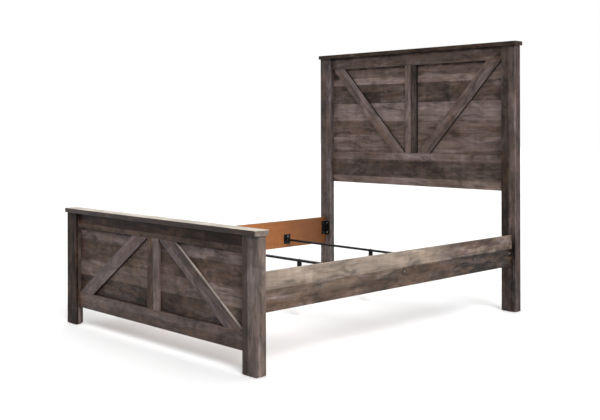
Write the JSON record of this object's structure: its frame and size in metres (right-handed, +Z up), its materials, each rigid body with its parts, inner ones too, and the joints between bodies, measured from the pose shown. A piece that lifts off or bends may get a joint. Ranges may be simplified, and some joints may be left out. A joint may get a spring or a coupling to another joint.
{
  "type": "bed frame",
  "caption": "Queen-size farmhouse bed frame: braced headboard and footboard on built-up posts, side rails, steel crossbars and centre legs with screw feet.",
  "frame": {"origin": "on the floor, under the middle of the whole bed's box (z=0 is the floor under the post glides)", "axes": "+X across the bed to the right side rail as seen from the foot, +Y along the bed from the footboard to the headboard, +Z up"},
  "size_m": [1.674, 2.181, 1.653],
  "materials": {
    "weathered_oak_laminate": "satin printed-paper laminate on fibreboard, weathered greyish-brown oak planks; raw orange-brown board on the rails' inner faces",
    "softwood_block": "sawn, unfinished",
    "beech_dowel": "fluted, unfinished",
    "black_powder_coated_steel": "satin black powder coat",
    "black_zinc_hardware": "black zinc plated",
    "black_phosphate_screw": "black phosphate",
    "zinc_insert": "zinc plated",
    "black_moulded_plastic": "moulded, fine texture"
  },
  "bodies": {
    "frame": {"bar_bracket_foot_left": "black_powder_coated_steel", "bar_bracket_foot_right": "black_powder_coated_steel", "bar_bracket_head_left": "black_powder_coated_steel", "bar_bracket_head_right": "black_powder_coated_steel", "bar_bracket_middle_left": "black_powder_coated_steel", "bar_bracket_middle_right": "black_powder_coated_steel", "cap_dowels": "beech_dowel", "centre_leg_foot": "black_powder_coated_steel", "centre_leg_head": "black_powder_coated_steel", "centre_leg_middle": "black_powder_coated_steel", "crossbar_foot": "black_powder_coated_steel", "crossbar_head": "black_powder_coated_steel", "crossbar_middle": "black_powder_coated_steel", "floor_glides": "black_moulded_plastic", "footboard_bottom_rail": "weathered_oak_laminate", "footboard_brace_left": "weathered_oak_laminate", "footboard_brace_right": "weathered_oak_laminate", "footboard_cap": "weathered_oak_laminate", "footboard_panel": "weathered_oak_laminate", "footboard_post_back_left": "weathered_oak_laminate", "footboard_post_back_right": "weathered_oak_laminate", "footboard_post_front_left": "weathered_oak_laminate", "footboard_post_front_right": "weathered_oak_laminate", "footboard_post_return_left": "weathered_oak_laminate", "footboard_post_return_right": "weathered_oak_laminate", "footboard_post_side_left": "weathered_oak_laminate", "footboard_post_side_right": "weathered_oak_laminate", "footboard_stile": "weathered_oak_laminate", "footboard_top_rail": "weathered_oak_laminate", "headboard_bottom_rail": "weathered_oak_laminate", "headboard_brace_left": "weathered_oak_laminate", "headboard_brace_right": "weathered_oak_laminate", "headboard_cap": "weathered_oak_laminate", "headboard_panel": "weathered_oak_laminate", "headboard_post_front_left": "weathered_oak_laminate", "headboard_post_front_right": "weathered_oak_laminate", "headboard_post_return_left": "weathered_oak_laminate", "headboard_post_return_right": "weathered_oak_laminate", "headboard_post_side_left": "weathered_oak_laminate", "headboard_post_side_right": "weathered_oak_laminate", "headboard_stile": "weathered_oak_laminate", "headboard_top_rail": "weathered_oak_laminate", "leg_foot_inserts": "black_moulded_plastic", "leg_top_inserts": "black_moulded_plastic", "m6_bolts": "black_zinc_hardware", "m6_nuts": "black_zinc_hardware", "m8_bolts": "black_zinc_hardware", "m8_nuts": "black_zinc_hardware", "panel_screws": "black_phosphate_screw", "post_blocks": "softwood_block", "post_inserts": "zinc_insert", "rail_bracket_foot_left": "black_powder_coated_steel", "rail_bracket_foot_right": "black_powder_coated_steel", "rail_bracket_head_left": "black_powder_coated_steel", "rail_bracket_head_right": "black_powder_coated_steel", "side_rail_left": "weathered_oak_laminate", "side_rail_right": "weathered_oak_laminate"},
    "screw_foot_head": {"screw_foot_head": "black_zinc_hardware"},
    "screw_foot_middle": {"screw_foot_middle": "black_zinc_hardware"},
    "screw_foot_foot": {"screw_foot_foot": "black_zinc_hardware"}
  },
  "joints": [
    {"name": "screw_foot_head_slide", "type": "slide", "parent": "frame", "child": "screw_foot_head", "axis": [0, 0, 1], "range_m": [-0.07, 0]},
    {"name": "screw_foot_middle_slide", "type": "slide", "parent": "frame", "child": "screw_foot_middle", "axis": [0, 0, 1], "range_m": [-0.07, 0]},
    {"name": "screw_foot_foot_slide", "type": "slide", "parent": "frame", "child": "screw_foot_foot", "axis": [0, 0, 1], "range_m": [-0.07, 0]}
  ]
}
